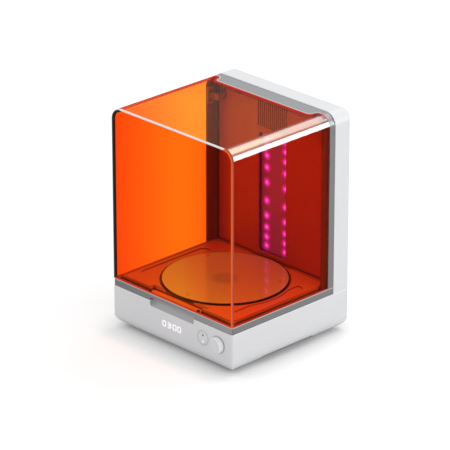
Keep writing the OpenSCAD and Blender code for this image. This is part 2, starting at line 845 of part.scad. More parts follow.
module turntable_hub() {
  color("firebrick") placed() difference() {
    union() {
      rod_z(recess_z + 0.4, table_z, 0, table_y, table_hub_r);
      rod_z(recess_z - 3, recess_z + 0.5, 0, table_y, 7.6);
    }
    rod_z(recess_z - 4, table_z - 0.4, 0, table_y, spindle_r);
  }
}

module turntable_disc() {
  bevel = 0.6;
  color("orange", 0.4) placed() translate([0, table_y, table_z]) rotate_extrude()
    polygon([[0, 0], [table_r - bevel, 0], [table_r, bevel], [table_r, table_t - bevel],
             [table_r - bevel, table_t], [0, table_t]]);
}

module turntable_studs() {
  color("orange") placed()
    for (a = [-86, 34, 154])
      translate([stud_circle_r * cos(a), table_y + stud_circle_r * sin(a), table_z + table_t])
        difference() {
          cylinder(h = 1.2, r = 2.4);
          translate([0, 0, 0.6]) cylinder(h = 2, r = 1.2);
        }
}

module main_board() {
  z = plate_t + board_up;
  top = z + board[2];
  color("seagreen") placed() translate([0, board_mid, 0]) union() {
    block(-board[0] / 2, board[0] / 2, -board[1] / 2, board[1] / 2, z, top);
    block(-50, -32, -11, 7, top, top + 1.6);
    for (i = [0:4]) rod_z(top, top + 10.4, -16 + i * 12, 15, 4);
    for (i = [0:2]) block(22 + i * 14, 32 + i * 14, -23, -17, top, top + 6.4);
    block(10, 26, -11, 3, top, top + 8.4);
  }
}

module board_standoffs() {
  color("gold") placed() translate([0, board_mid, 0]) for (x = [-1, 1], y = [-1, 1])
    rod_z(plate_t, plate_t + board_up, x * (board[0] / 2 - 5), y * (board[1] / 2 - 5), 2.6);
}

module display_module() {
  half = 2 * digit_pitch + 5;
  color("black") placed() union() {
    block(-half, half, inner_front, inner_front + 5, display_z - 10, display_z + 10);
    block(-half - 4, half + 4, inner_front + 5, inner_front + 6.6, display_z - 12, display_z + 12);
  }
}

// One seven-segment figure; on lists segments a to g as 1 or 0.
module figure(on) {
  s = 1.4;
  g = 0.12;
  w = digit_w - s;
  h = (digit_h - s) / 2;
  ends = [[0, h], [1, h / 2], [1, -h / 2], [0, -h], [-1, -h / 2], [-1, h / 2], [0, 0]];
  for (i = [0:6]) if (on[i] == 1) {
    flat = ends[i][0] == 0;
    translate([ends[i][0] * w / 2, ends[i][1]])
      square(flat ? [w - s - 2 * g, s] : [s, h - s + 2 * (s / 2 - g)], center = true);
  }
}

module display_digits() {
  zero = [1, 1, 1, 1, 1, 1, 0];
  three = [1, 1, 1, 1, 0, 0, 1];
  shown = [zero, three, zero, zero];
  inner = digit_pitch / 2 + 1.3;
  places = [-inner - digit_pitch, -inner, inner, inner + digit_pitch];
  color("white") placed() along_y(front_y - 0.2, front_y) translate([0, display_z]) {
    for (i = [0:3]) translate([places[i], 0]) figure(shown[i]);
    for (s = [-1, 1]) translate([0, s * digit_h / 5]) square(1.4, center = true);
  }
}

module button_cap() {
  color("whitesmoke") placed() difference() {
    union() {
      rod_y(front_y - 0.2, inner_front + 1.6, button_x, control_z, button_r);
      rod_y(inner_front + fit + 0.1, inner_front + 2, button_x, control_z, button_r + 1.4);
      rod_y(inner_front + 1.8, inner_front + 5, button_x, control_z, 2);
    }
    for (s = [-1, 1])
      rod_y(front_y - over, front_y + 0.3, button_x, control_z + s * button_r * 0.5, 1.1);
  }
}

module button_switch() {
  y = inner_front + 5 + button_travel + 0.1;
  color("black") placed() union() {
    block(button_x - 4, button_x + 4, y, y + 4, control_z - 4, control_z + 4);
    block(button_x - 14, button_x + 14, y + 4, y + 5.6, control_z - 9, control_z + 9);
    for (s = [-1, 1])
      block(button_x + s * 13 - 1, button_x + s * 13 + 1, inner_front, y + 4,
            control_z - 9, control_z + 9);
  }
}

module encoder_body() {
  color("silver") placed() difference() {
    union() {
      block(knob_x - 8, knob_x + 8, inner_front, inner_front + 9, control_z - 8, control_z + 8);
      rod_y(front_y, inner_front, knob_x, control_z, 5 - fit);
    }
    rod_y(inner_front + 2, inner_front + 7, knob_x, control_z, rotor_r + run);
    rod_y(front_y - over, inner_front + 8.2, knob_x, control_z, shaft_r + run);
  }
}

module encoder_rotor() {
  color("white") placed() difference() {
    rod_y(inner_front + 2.1, inner_front + 6.9, knob_x, control_z, rotor_r);
    rod_y(inner_front + 1, inner_front + 8, knob_x, control_z, shaft_r + run);
  }
}

module encoder_shaft() {
  color("silver") placed()
    rod_y(front_y - knob_out + 2.5, inner_front + 7, knob_x, control_z, shaft_r);
}

module knob_cap() {
  skirt_t = 3;
  skirt_gap = 1;
  soft = 1.8;
  color("whitesmoke") placed() difference() {
    translate([knob_x, front_y - skirt_gap, control_z]) rotate([90, 0, 0]) rotate_extrude() {
      square([knob_r - 0.6, skirt_t]);
      translate([0, 0.6]) square([knob_r, skirt_t - 1.2]);
      for (y = [0.6, skirt_t - 0.6]) translate([knob_r - 0.6, y]) circle(0.6);
      square([knob_r - 1.2, knob_out - skirt_gap - soft]);
      square([knob_r - 1.2 - soft, knob_out - skirt_gap]);
      translate([knob_r - 1.2 - soft, knob_out - skirt_gap - soft]) circle(soft);
    }
    rod_y(front_y - knob_out + 2.5, front_y, knob_x, control_z, shaft_r);
  }
}

module power_supply() {
  slots = 9;
  top = plate_t + supply[2];
  color("silver") placed() translate([-supply[0] / 2 - 4, rear_y - 78, 0]) difference() {
    block(-supply[0] / 2, supply[0] / 2, -supply[1] / 2, supply[1] / 2, plate_t, top);
    for (i = [0:slots - 1]) translate([(i - (slots - 1) / 2) * 8, 0, top])
      cube([4, supply[1] - 16, 3], center = true);
  }
}

module power_inlet() {
  color("black") placed() difference() {
    union() {
      block(inlet_x - 14, inlet_x + 14, rear_y - 24, rear_y, power_z - 10.5, power_z + 10.5);
      along_y(rear_y, rear_y + flange_t) translate([inlet_x, power_z]) rounded(49, 23, 4);
    }
    along_y(rear_y - 16, rear_y + flange_t + over) translate([inlet_x, power_z])
      rounded(24, 16.6, 2.4);
    for (s = [-1, 1]) rod_y(rear_y - over, rear_y + 4, inlet_x + s * 20, power_z, 1.5);
  }
}

module inlet_pins() {
  color("silver") placed() for (p = [[-7, -1], [0, 3.2], [7, -1]])
    block(inlet_x + p[0] - 1, inlet_x + p[0] + 1, rear_y - 16, rear_y - 2,
          power_z + p[1] - 2, power_z + p[1] + 2);
}

module inlet_screws() {
  color("silver") placed() for (s = [-1, 1]) {
    rod_y(rear_y - wall - 3, rear_y + flange_t, inlet_x + s * 20, power_z, 1.45);
    difference() {
      rod_y(rear_y + flange_t, rear_y + rear_out, inlet_x + s * 20, power_z, 2.9);
      translate([inlet_x + s * 20, rear_y + rear_out, power_z])
        cube([3.6, 1.2, 0.8], center = true);
    }
  }
}

module switch_frame() {
  color("black") placed() difference() {
    union() {
      block(switch_x - 7, switch_x + 7, rear_y - 14, rear_y, power_z - 10.5, power_z + 10.5);
      along_y(rear_y, rear_y + 1.6) translate([switch_x, power_z]) rounded(19, 26, 1.5);
    }
    block(switch_x - 5.5, switch_x + 5.5, rear_y - 9, rear_y + 4, power_z - 9, power_z + 9);
    rod_x(switch_x - 6.8, switch_x + 6.8, rear_y - 1.2, power_z, 1.2 + run);
  }
}

module switch_rocker() {
  tilt = 7;
  color("dimgray") placed() translate([0, rear_y - 1.2, power_z]) rotate([tilt, 0, 0]) union() {
    along_x(switch_x - 5.2, switch_x + 5.2)
      polygon([[-4, -5], [-4, 5], [0.4, 8.3], [2.3, 8.3], [1.1, 0], [2.3, -8.3], [0.4, -8.3]]);
    rod_x(switch_x - 6.7, switch_x + 6.7, 0, 0, 1.2);
  }
}

module lid_arch(inset, z0) {
  arch(lid_w - 2 * inset, z0, lid_top - inset, hood_r - inset);
}

// Plan of the strip across the top: its front edge curves back in an S at each end.
module strip_plan() {
  full = strip_half + strip_r;
  translate([-strip_half, strip_front]) square([2 * strip_half, lid_rear - strip_front]);
  translate([-full, strip_front + strip_r])
    square([2 * full, lid_rear - strip_front - strip_r]);
  for (s = [-1, 1]) {
    translate([s * strip_half, strip_front + strip_r]) circle(strip_r);
    difference() {
      translate([s * (full + strip_r / 2), (sheet_rear - strip_r + lid_rear) / 2])
        square([strip_r, lid_rear - sheet_rear + strip_r], center = true);
      translate([s * (full + strip_r), sheet_rear - strip_r]) circle(strip_r);
    }
  }
}

module hood_canopy() {
  color("orange", 0.5) placed() difference() {
    along_y(lid_front + sheet, sheet_rear) difference() {
      lid_arch(0, glass_z);
      lid_arch(sheet, glass_z - over);
    }
    along_z(lid_top - sheet - over, lid_top + over) strip_plan();
  }
}

module hood_front_panel() {
  color("orange", 0.5) placed() along_y(lid_front, lid_front + sheet) lid_arch(0, glass_z);
}

// Plan of the gasket: two strips that run from the handle round the front corners to the rear.
module gasket_plan() {
  out = 1;
  inner = out + gasket_t;
  difference() {
    translate([0, lid_front + out + body_d / 2])
      rounded(lid_w - 2 * out, body_d, edge_r - out / 2);
    translate([0, lid_front + inner + body_d / 2])
      rounded(lid_w - 2 * inner, body_d, edge_r - inner / 2);
    translate([-side_x, lid_rear - 3]) square([2 * side_x, body_d]);
    translate([-handle_half, lid_front]) square([2 * handle_half, 20]);
  }
}

module lid_frame() {
  color("darkgray") placed() difference() {
    union() {
      along_z(lid_top - sheet, lid_top) strip_plan();
      along_y(sheet_rear, lid_rear) difference() {
        lid_arch(0, band_z);
        lid_arch(frame_t, band_z - over);
      }
      along_y(sheet_rear - flange_d, sheet_rear) difference() {
        lid_arch(sheet, band_z);
        lid_arch(sheet + flange_t_in, band_z - over);
      }
      along_z(band_z, glass_z) difference() {
        intersection() {
          rounded(lid_w, body_d - 2 * lid_inset, edge_r);
          translate([-side_x, front_y]) square([2 * side_x, lid_rear - front_y]);
        }
        translate([band_t - lid_w / 2, lid_front + band_t])
          square([lid_w - 2 * band_t, body_d]);
      }
      block(-handle_half, handle_half, lid_front + band_t - over, lid_front + handle_t,
            band_z, glass_z);
    }
    scoop_cut();
    rod_x(-side_x, side_x, hinge_y, hinge_z, relief_r);
    along_z(band_z - over, band_z + 1.5) gasket_plan();
    catches() rod_z(band_z - over, band_z + magnet_h, 0, 0, magnet_r);
    both_sides() arm_screws() rod_x(plate_x, lid_w / 2 - sheet, 0, 0, 1.5);
  }
}

module lid_gasket() {
  color("black") placed() along_z(base_h + 0.1, band_z + 1.5) gasket_plan();
}

module lid_magnets() {
  color("silver") placed() catches() rod_z(band_z, band_z + magnet_h, 0, 0, magnet_r);
}

// Small dark stops on the foot of the front panel.
module lid_catches() {
  color("black") placed() both_sides()
    block(52, 56, lid_front + sheet, lid_front + band_t, glass_z, glass_z + 3.6);
}

base_housing();
bottom_plate();
rubber_feet();
base_screws();
column_housing();
rear_cover();
rear_cover_screws();
chamber_floor();
base_magnets();
rear_liner();
lamp_window();
lamp_board();
lamps();
lamp_heatsink();
blower_housing();
blower_rotor();
heater_element();
lid_sensor();
hinge_mounts();
hinge_pins();
hinge_torque_units();
gearmotor();
motor_bracket();
motor_screws();
drive_spindle();
turntable_hub();
turntable_disc();
turntable_studs();
main_board();
board_standoffs();
display_module();
display_digits();
button_cap();
button_switch();
encoder_body();
encoder_rotor();
encoder_shaft();
knob_cap();
power_supply();
power_inlet();
inlet_pins();
inlet_screws();
switch_frame();
switch_rocker();
hood_canopy();
hood_front_panel();
lid_frame();
lid_gasket();
lid_magnets();
lid_catches();
hinge_arm_left();
hinge_arm_right();
hinge_arm_screws();
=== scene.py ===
import json
import math

import bmesh
import bpy
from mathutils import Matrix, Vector


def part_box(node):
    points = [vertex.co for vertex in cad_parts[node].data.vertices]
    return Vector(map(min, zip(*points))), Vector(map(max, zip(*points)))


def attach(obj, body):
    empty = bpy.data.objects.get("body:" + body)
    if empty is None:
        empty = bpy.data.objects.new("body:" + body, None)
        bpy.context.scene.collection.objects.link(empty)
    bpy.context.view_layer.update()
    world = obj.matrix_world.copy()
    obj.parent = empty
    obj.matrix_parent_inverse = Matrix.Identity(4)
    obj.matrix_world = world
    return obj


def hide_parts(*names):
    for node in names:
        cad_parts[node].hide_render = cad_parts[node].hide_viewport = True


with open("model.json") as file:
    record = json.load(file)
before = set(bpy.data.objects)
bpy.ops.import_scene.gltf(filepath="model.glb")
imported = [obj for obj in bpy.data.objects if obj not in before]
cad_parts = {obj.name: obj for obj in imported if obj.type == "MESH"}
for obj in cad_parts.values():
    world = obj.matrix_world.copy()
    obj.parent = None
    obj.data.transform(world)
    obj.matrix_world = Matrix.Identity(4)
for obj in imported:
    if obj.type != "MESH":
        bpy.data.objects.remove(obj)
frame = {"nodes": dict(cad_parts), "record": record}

bl_info = {
    "name": "Light curing unit finish",
    "version": (1, 0, 0),
    "blender": (4, 5, 0),
    "location": "3D View > Sidebar > Curing Unit",
    "description": "Finishes, edge rounding, lamps and stage of a light curing unit",
    "category": "Object",
}

NODES = frame["nodes"]
MM = 0.001
BODY_OF = {
    node: body
    for body, members in frame["record"]["behaviour"]["bodies"].items()
    for node in members
}

# Sizes of the part that the looks follow
HOOD_R = 19.5 * MM  # bends between the hood's top and its sides
STRIP_HALF = 97 * MM  # half the straight front edge of the frame's top band
STRIP_R = 7.85 * MM  # both arcs of that edge's S-curve
STRIP_MIDDLE = 77.55 * MM  # how far back the arcs' centres lie
LAMP_R = 2.6 * MM
# heights of the lamps above and below the middle of their board
LAMP_STEPS = [15.6 * MM, 41.3 * MM, 61.3 * MM, 78.1 * MM, 93.3 * MM]
BUTTON_RING_R = 12 * MM
KNOB_RING_R = 13.6 * MM
KNOB_FACE_R = 10.2 * MM

# Edge rounding
EDGE_SEGMENTS = 2
SHARP_ANGLE = math.radians(34)  # edges that are rounded
CREASE_ANGLE = math.radians(50)  # edges that stay sharp in the shading
WELD = 0.002 * MM
FLAT_ANGLE = math.radians(0.6)  # faces that are joined into one

# Places on the housings where shade or a highlight is painted
LIP_SHADE_INNER, LIP_SHADE_OUTER, LIP_SHADE_REAR, LIP_SHADE_TOP = 116 * MM, 128 * MM, 100 * MM, 364 * MM
SCOOP_HALF, SCOOP_FOOT, SCOOP_DEPTH = 57 * MM, 52 * MM, 30 * MM
RECESS_FRONT, RECESS_REAR = -66 * MM, 61 * MM
RECESS_DEPTH, RECESS_SHADOW_HEIGHT = 14 * MM, 10.2 * MM
PARTING_HIGHLIGHT_HEIGHT = 2 * MM  # height of the highlight painted under the lid
FOOT_SHADE_HEIGHT = 11 * MM  # over which shade is painted on the base, darker towards the floor

# Colours of painted light and shade on cut edges, gaps and marks
BLACK = (0.0, 0.0, 0.0)
LIP_SHADE_BROWN = (0.03, 0.015, 0.012)
GAP_SHADE_GREY = (0.22, 0.22, 0.23)
SCOOP_SHADE_GREY = (0.54, 0.585, 0.6)
RECESS_SHADOW_GREY = (0.27, 0.275, 0.28)
PARTING_HIGHLIGHT_WHITE = (0.97, 0.975, 0.98)
SHEET_HIGHLIGHT_CREAM = (0.86, 0.84, 0.62)
SHEET_HIGHLIGHT_PALE = (0.80, 0.83, 0.86)
SHEET_HIGHLIGHT_GREY = (0.72, 0.78, 0.80)
SHEET_SHADE_BLACK = (0.004, 0.003, 0.003)
SHEET_GLOW_ORANGE = (0.75, 0.13, 0.01)
SHEET_PAINTED_RED = (0.72, 0.045, 0.02)
SHEET_SHADE_RED = (0.16, 0.012, 0.01)
INNER_LIGHT_RED = (0.20, 0.02, 0.015)

# Indices of refraction. The amber sheet's is low, so that it hardly shifts what lies behind.
SHEET_INDEX = 1.08
DISC_INDEX = 1.49


def middle(node):
    """Middle of a node's box at rest."""
    low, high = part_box(node)
    return (low + high) / 2


class Value:
    """A shader value. Arithmetic on it adds Math nodes to its material."""

    def __init__(self, finish, socket):
        self.finish = finish
        self.socket = socket

    def math(self, operation, *others):
        node = self.finish.add("ShaderNodeMath", {"operation": operation},
                               dict(enumerate((self,) + others)))
        return Value(self.finish, node.outputs[0])

    def flipped(self, operation, other):
        node = self.finish.add("ShaderNodeMath", {"operation": operation}, {0: other, 1: self})
        return Value(self.finish, node.outputs[0])

    def __add__(self, other):
        return self.math("ADD", other)

    __radd__ = __add__

    def __sub__(self, other):
        return self.math("SUBTRACT", other)

    def __rsub__(self, other):
        return self.flipped("SUBTRACT", other)

    def __mul__(self, other):
        return self.math("MULTIPLY", other)

    def __truediv__(self, other):
        return self.math("DIVIDE", other)

    def __pow__(self, other):
        return self.math("POWER", other)

    def __gt__(self, other):
        return self.math("GREATER_THAN", other)

    def __lt__(self, other):
        return self.math("LESS_THAN", other)

    def __abs__(self):
        return self.math("ABSOLUTE")

    def least(self, other):
        return self.math("MINIMUM", other)

    def most(self, other):
        return self.math("MAXIMUM", other)

    def root(self):
        return self.math("SQRT")

    def clamped(self):
        return self.math("MAXIMUM", 0.0).math("MINIMUM", 1.0)


class Finish:
    """The node tree of a new material, or of a new world, under construction."""

    def __init__(self, name, kind="materials"):
        self.owner = getattr(bpy.data, kind).new(name)
        self.owner.use_nodes = True
        self.tree = self.owner.node_tree
        self.tree.nodes.clear()
        self.place = None

    def add(self, kind, settings=None, sockets=None):
        """Adds a node: its settings are set first, then its sockets' values or links."""
        node = self.tree.nodes.new(kind)
        for key, value in (settings or {}).items():
            setattr(node, key, value)
        for key, value in (sockets or {}).items():
            self.feed(node.inputs[key], value)
        return node

    def feed(self, socket, value):
        """Links a value or a socket to socket, or sets the constant on it."""
        if isinstance(value, Value):
            self.tree.links.new(value.socket, socket)
        elif isinstance(value, bpy.types.NodeSocket):
            self.tree.links.new(value, socket)
        elif socket.type == "RGBA":
            socket.default_value = (*value, 1.0) if len(value) == 3 else value
        else:
            socket.default_value = value

    def position(self):
        """Object coordinates, in metres."""
        if self.place is None:
            self.place = self.add("ShaderNodeTexCoord").outputs["Object"]
        return self.place

    def axes(self):
        """The X, Y and Z of the object coordinates as values."""
        split = self.add("ShaderNodeSeparateXYZ", None, {0: self.position()})
        return [Value(self, split.outputs[i]) for i in range(3)]

    def noise(self, size, detail=3.0, stretch=None):
        """Noise from 0 to 1 whose features are about size metres across."""
        vector = self.position()
        if stretch:
            vector = self.add("ShaderNodeVectorMath", {"operation": "MULTIPLY"},
                              {0: vector, 1: stretch}).outputs[0]
        node = self.add("ShaderNodeTexNoise", None,
                        {"Vector": vector, "Scale": 1.0 / size, "Detail": detail,
                         "Roughness": 0.55})
        return Value(self, node.outputs[0])

    def crease(self, reach):
        """1 in the open, down towards 0 in corners narrower than reach metres."""
        node = self.add("ShaderNodeAmbientOcclusion", {"samples": 6}, {"Distance": reach})
        return Value(self, node.outputs["AO"])

    def blend(self, factor, first, second):
        """Colour that goes from first to second as factor goes from 0 to 1."""
        node = self.add("ShaderNodeMix", {"data_type": "RGBA"},
                        {0: factor, 6: first, 7: second})
        return node.outputs[2]

    def bump(self, height, strength, distance):
        node = self.add("ShaderNodeBump", None,
                        {"Height": height, "Strength": strength, "Distance": distance})
        return node.outputs["Normal"]

    def seen(self):
        """1 where the camera looks, also by a mirror or through a sheet, and otherwise 0."""
        rays = self.add("ShaderNodeLightPath").outputs
        return (Value(self, rays["Is Camera Ray"]) + Value(self, rays["Is Transmission Ray"])
                + Value(self, rays["Is Glossy Ray"])).clamped()

    def mix(self, factor, first, second):
        """Shader that goes from first to second as factor goes from 0 to 1."""
        return self.add("ShaderNodeMixShader", None,
                        {0: factor, 1: first, 2: second}).outputs[0]

    def shader(self, kind, sockets):
        return self.add(kind, None, sockets).outputs[0]

    def principled(self, sockets):
        return self.shader("ShaderNodeBsdfPrincipled", sockets)

    def surface(self, shader, output="ShaderNodeOutputMaterial"):
        """Ends the tree with shader and returns the material or world."""
        self.add(output, None, {"Surface": shader})
        return self.owner


def from_axis(f, centre):
    """Distance from the line that runs from front to back through centre."""
    x, y, z = f.axes()
    return ((x - centre.x) ** 2.0 + (z - centre.z) ** 2.0).root()


def moulded(name, colour, roughness, coat=0.0, marks=None, crease_shade=0.0, polish=None,
            glow=None):
    """Moulded plastic: fine spark grain, faint flow shading and slight handling wear.

    marks recolours places on the moulding, crease_shade paints shade into its corners, polish
    says where it is lacquered, and glow where it shines.
    """
    f = Finish(name)
    fine = f.noise(0.35 * MM, 2.0)
    broad = f.noise(42 * MM, 2.0)
    shade = f.blend(broad * 0.5 + fine * 0.2, [c * 0.965 for c in colour],
                    [min(1.0, c * 1.03) for c in colour])
    if marks:
        shade = marks(f, shade)
    # painted shade in corners and creases
    if crease_shade:
        open_share = ((f.crease(5 * MM) - (1.0 - crease_shade)) / crease_shade).clamped()
        shade = f.blend(open_share, [c * 0.12 for c in colour], shade)
    rough = roughness - 0.06 + broad * 0.08 + fine * 0.05
    sockets = {"Base Color": shade, "Roughness": rough, "IOR": 1.48, "Coat Weight": coat,
               "Coat Roughness": 0.2, "Normal": f.bump(fine, 0.35, 0.012 * MM)}
    if polish:
        sockets.update({"Coat Weight": polish(f), "Coat IOR": 2.2})
    if glow:
        sockets.update({"Emission Color": glow(f), "Emission Strength": 1.0})
    return f.surface(f.principled(sockets))


def rubber(name, colour):
    """Matt rubber with a dusty bloom."""
    f = Finish(name)
    bloom = f.noise(3 * MM, 4.0)
    fine = f.noise(0.4 * MM, 2.0)
    shade = f.blend(bloom, colour, [c * 1.9 + 0.01 for c in colour])
    return f.surface(f.principled({
        "Base Color": shade, "Roughness": 0.72 + bloom * 0.15,
        "Normal": f.bump(fine, 0.5, 0.03 * MM)}))


def metal(name, colour, roughness, stretch=(1.0, 1.0, 1.0)):
    """Worked metal: fine marks along one direction and a slightly uneven shine."""
    f = Finish(name)
    marks = f.noise(0.5 * MM, 3.0, stretch)
    broad = f.noise(12 * MM, 2.0)
    shade = f.blend(marks, [c * 0.88 for c in colour], colour)
    return f.surface(f.principled({
        "Base Color": shade, "Metallic": 1.0, "Roughness": roughness + broad * 0.12,
        "Normal": f.bump(marks, 0.25, 0.02 * MM)}))


def painted(name, colour, roughness):
    """Powder-coated steel with a faint orange-peel skin."""
    f = Finish(name)
    peel = f.noise(0.9 * MM, 2.0)
    broad = f.noise(25 * MM, 2.0)
    shade = f.blend(broad, [c * 0.92 for c in colour], colour)
    return f.surface(f.principled({
        "Base Color": shade, "Roughness": roughness + peel * 0.08,
        "Normal": f.bump(peel, 0.4, 0.02 * MM)}))


def circuit(name, colour):
    """Solder mask with copper runs under it."""
    f = Finish(name)
    cells = f.add("ShaderNodeTexVoronoi", {"distance": "MANHATTAN"},
                  {"Vector": f.position(), "Scale": 1.0 / (4 * MM)})
    runs = Value(f, cells.outputs["Distance"]) < 0.35
    shade = f.blend(runs, colour, [c * 1.6 + 0.02 for c in colour])
    return f.surface(f.principled({"Base Color": shade, "Roughness": 0.35 + runs * 0.1,
                                   "Normal": f.bump(runs, 0.3, 0.03 * MM)}))


def clear_sheet(name, colour, index, shade=None, polish=None, frost=0.0, roughness=0.0,
                rim=None):
    """Clear sheet: colour tints the light that falls through it.

    What shows through it is tinted by shade or, without one, by colour. polish says where it
    is lacquered. Where rim's mask is 1, the sheet shows painted light and shade instead: rim's
    colour and glow.
    """
    f = Finish(name)
    smudge = f.noise(60 * MM, 3.0)
    if shade:
        tinted = shade(f, smudge)
    else:
        tinted = f.blend(smudge, colour, [min(1.0, c * 1.02) for c in colour])
    sockets = {"Base Color": tinted, "Roughness": roughness, "IOR": index,
               "Transmission Weight": 1.0 - frost}
    if polish:
        sockets.update({"Coat Weight": polish(f), "Coat IOR": 2.4, "Coat Roughness": 0.06})
    sheet = f.principled(sockets)
    if rim:
        mask, painted_light, glow = rim(f)
        edge = f.principled({"Base Color": painted_light, "Roughness": 0.3, "Specular IOR Level": 0.0,
                             "Emission Color": glow, "Emission Strength": 1.0})
        sheet = f.mix(mask, sheet, edge)
    # light crosses both faces of the sheet, so each takes the root of the tint
    tint = [math.sqrt(c) for c in colour]
    clear = f.shader("ShaderNodeBsdfTransparent", {"Color": tint})
    rays = f.add("ShaderNodeLightPath").outputs
    unseen = Value(f, rays["Is Shadow Ray"]).most(Value(f, rays["Is Diffuse Ray"]))
    return f.surface(f.mix(unseen, sheet, clear))


def lamp_distance(f):
    """Distance from the nearest lamp across the board, in metres."""
    x, y, z = f.axes()
    centre = middle("lamp_board")
    low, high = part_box("lamps")
    across = abs(abs(x - centre.x) - ((high.x - low.x) / 2 - LAMP_R))
    up = abs(z - centre.z)
    nearest = None
    for step in LAMP_STEPS:
        gap = up - step
        reach = (across * across + gap * gap).root()
        nearest = reach if nearest is None else nearest.least(reach)
    return nearest


def lit_board(name, colour, glow, strength):
    """White lamp board with a glow painted round each lamp, standing in for the lamps' light
    on it.
    """
    f = Finish(name)
    fine = f.noise(0.8 * MM, 2.0)
    painted_glow = (1.0 - lamp_distance(f) / (11 * MM)).clamped()
    light = (painted_glow * painted_glow * 1.2 + 0.04).least(1.0)
    return f.surface(f.principled({
        "Base Color": f.blend(fine, colour, [c * 0.9 for c in colour]), "Roughness": 0.4,
        "Emission Color": f.blend(light, BLACK, glow), "Emission Strength": strength}))


def lit(name, colour, glow, strength):
    """Lit lens or light guide."""
    f = Finish(name)
    fine = f.noise(0.6 * MM, 2.0)
    return f.surface(f.principled({
        "Base Color": colour, "Roughness": 0.35 + fine * 0.05,
        "Emission Color": f.blend(fine * 0.15, glow, [c * 0.8 for c in glow]),
        "Emission Strength": strength}))


def paint(node, material):
    """Gives a CAD node its finish."""
    slots = NODES[node].material_slots
    if not slots:
        NODES[node].data.materials.append(material)
    for slot in slots:
        slot.material = material


def dressed(node, material, edge, edge_material=None):
    """Welded copy of a node with its sharp edges rounded, in the node's place.

    The rounded edges have edge_material where it is given.
    """
    mesh = NODES[node].data.copy()
    mesh.name = node + "_skin"
    bm = bmesh.new()
    bm.from_mesh(mesh)
    bmesh.ops.remove_doubles(bm, verts=bm.verts, dist=WELD)
    bmesh.ops.dissolve_limit(bm, angle_limit=FLAT_ANGLE, verts=bm.verts, edges=bm.edges,
                             use_dissolve_boundaries=False)
    sharp = [e for e in bm.edges if len(e.link_faces) == 2
             and e.calc_face_angle(0.0) > SHARP_ANGLE and e.calc_length() > edge]
    bmesh.ops.bevel(bm, geom=sharp, offset=edge, offset_type="OFFSET",
                    segments=EDGE_SEGMENTS, profile=0.5, affect="EDGES", clamp_overlap=True,
                    material=1 if edge_material else -1)
    bmesh.ops.triangulate(bm, faces=[f for f in bm.faces if len(f.verts) > 4])
    for face in bm.faces:
        face.smooth = True
    bm.to_mesh(mesh)
    bm.free()
    mesh.materials.clear()
    mesh.materials.append(material)
    if edge_material:
        mesh.materials.append(edge_material)
    mesh.set_sharp_from_angle(angle=CREASE_ANGLE)
    piece = bpy.data.objects.new(node + "_skin", mesh)
    bpy.context.scene.collection.objects.link(piece)
    normals = piece.modifiers.new("flat_faces_lead", "WEIGHTED_NORMAL")
    normals.mode = "FACE_AREA"
    normals.weight = 100
    normals.keep_sharp = True
    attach(piece, BODY_OF[node])
    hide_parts(node)
    return piece


class CuringUnitSettings(bpy.types.PropertyGroup):
    """Colours and sizes that a user may change."""

    white: bpy.props.FloatVectorProperty(
        name="White", description="Colour of the white housings", size=3,
        subtype="COLOR", min=0, max=1, default=(0.79, 0.80, 0.82))
    grey: bpy.props.FloatVectorProperty(
        name="Lid frame", description="Colour of the grey lid frame", size=3,
        subtype="COLOR", min=0, max=1, default=(0.235, 0.24, 0.246))
    # the tint across the amber sheet goes between these two as painted light and shade
    amber: bpy.props.FloatVectorProperty(
        name="Amber", description="Tint of one pass through the amber sheet where lightest",
        size=3, subtype="COLOR", min=0, max=1, default=(0.985, 0.52, 0.035))
    amber_deep: bpy.props.FloatVectorProperty(
        name="Deep amber",
        description="Tint of one pass through the amber sheet where deepest", size=3,
        subtype="COLOR", min=0, max=1, default=(0.98, 0.15, 0.022))
    let_in: bpy.props.FloatVectorProperty(
        name="Light let in", description="Tint of the daylight that falls through the sheet",
        size=3, subtype="COLOR", min=0, max=1, default=(0.96, 0.76, 0.70))
    # highlights painted along the lid frame's edges
    frame_highlight: bpy.props.FloatVectorProperty(
        name="Lid frame edge", description="Colour of the frame's bright lines", size=3,
        subtype="COLOR", min=0, max=1, default=(0.46, 0.58, 0.60))
    chamber: bpy.props.FloatVectorProperty(
        name="Chamber", description="Colour of the chamber's rear moulding", size=3,
        subtype="COLOR", min=0, max=1, default=(0.52, 0.050, 0.052))
    tray: bpy.props.FloatVectorProperty(
        name="Chamber floor", description="Colour of the chamber floor moulding", size=3,
        subtype="COLOR", min=0, max=1, default=(0.98, 0.36, 0.26))
    lamp: bpy.props.FloatVectorProperty(
        name="Lamp light", description="Colour of the curing lamps", size=3,
        subtype="COLOR", min=0, max=1, default=(0.035, 0.008, 1.0))
    # glow painted on the lamp board round each lamp, standing in for the lamps' light
    painted_glow: bpy.props.FloatVectorProperty(
        name="Board glow", description="Colour of the glow on the lamp board", size=3,
        subtype="COLOR", min=0, max=1, default=(0.075, 0.004, 1.0))
    lamp_strength: bpy.props.FloatProperty(
        name="Lamp strength", description="Brightness of the curing lamps", default=30.0,
        min=0.0, max=50.0)
    frame_edge: bpy.props.FloatProperty(
        name="Frame edge", description="Rounding of the lid frame's edges",
        default=0.7 * MM, unit="LENGTH", min=0.0)
    housing_edge: bpy.props.FloatProperty(
        name="Housing edge", description="Rounding of the housings' edges",
        default=0.45 * MM, unit="LENGTH", min=0.0)
    sheet_edge: bpy.props.FloatProperty(
        name="Sheet edge", description="Rounding of the amber sheet's edges",
        default=0.5 * MM, unit="LENGTH", min=0.0)
    world_level: bpy.props.FloatProperty(
        name="Sky level", description="Brightness of the even studio light", default=0.676,
        min=0.0, max=4.0)


def settings():
    return bpy.context.scene.curing_unit


